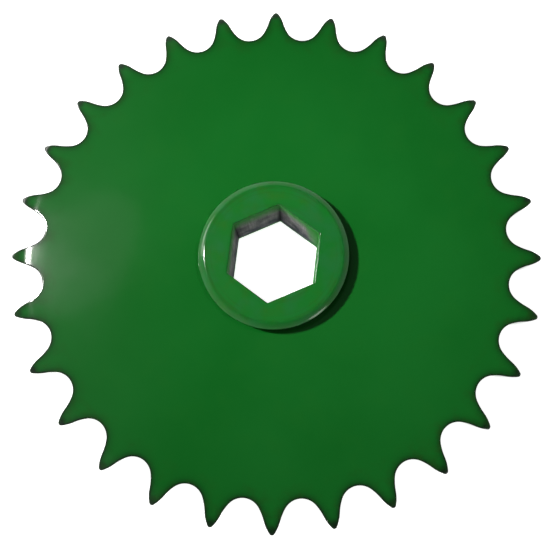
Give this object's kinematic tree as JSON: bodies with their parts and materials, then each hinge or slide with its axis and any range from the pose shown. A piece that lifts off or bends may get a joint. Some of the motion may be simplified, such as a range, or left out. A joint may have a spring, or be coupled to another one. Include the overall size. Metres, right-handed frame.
{
  "type": "roller chain sprocket",
  "caption": "Green painted plate sprocket for a single-strand roller chain, welded to a short round hub with a hexagonal through bore.",
  "frame": {"origin": "on the bore axis, in the middle of the plate's thickness, which is also the middle of the hub's length", "axes": "+Z along the bore axis, out of the hub's shouldered face; tooth gaps on +X, -X, +Y and -Y; corners of the hexagonal bore on +Y and -Y"},
  "size_m": [0.1794, 0.1794, 0.0238],
  "materials": {
    "plate_paint": "gloss",
    "hub_paint": "gloss",
    "weld_paint": "gloss"
  },
  "bodies": {
    "root": {"tooth_plate": "plate_paint", "hub": "hub_paint", "weld_bead": "weld_paint"}
  },
  "joints": []
}
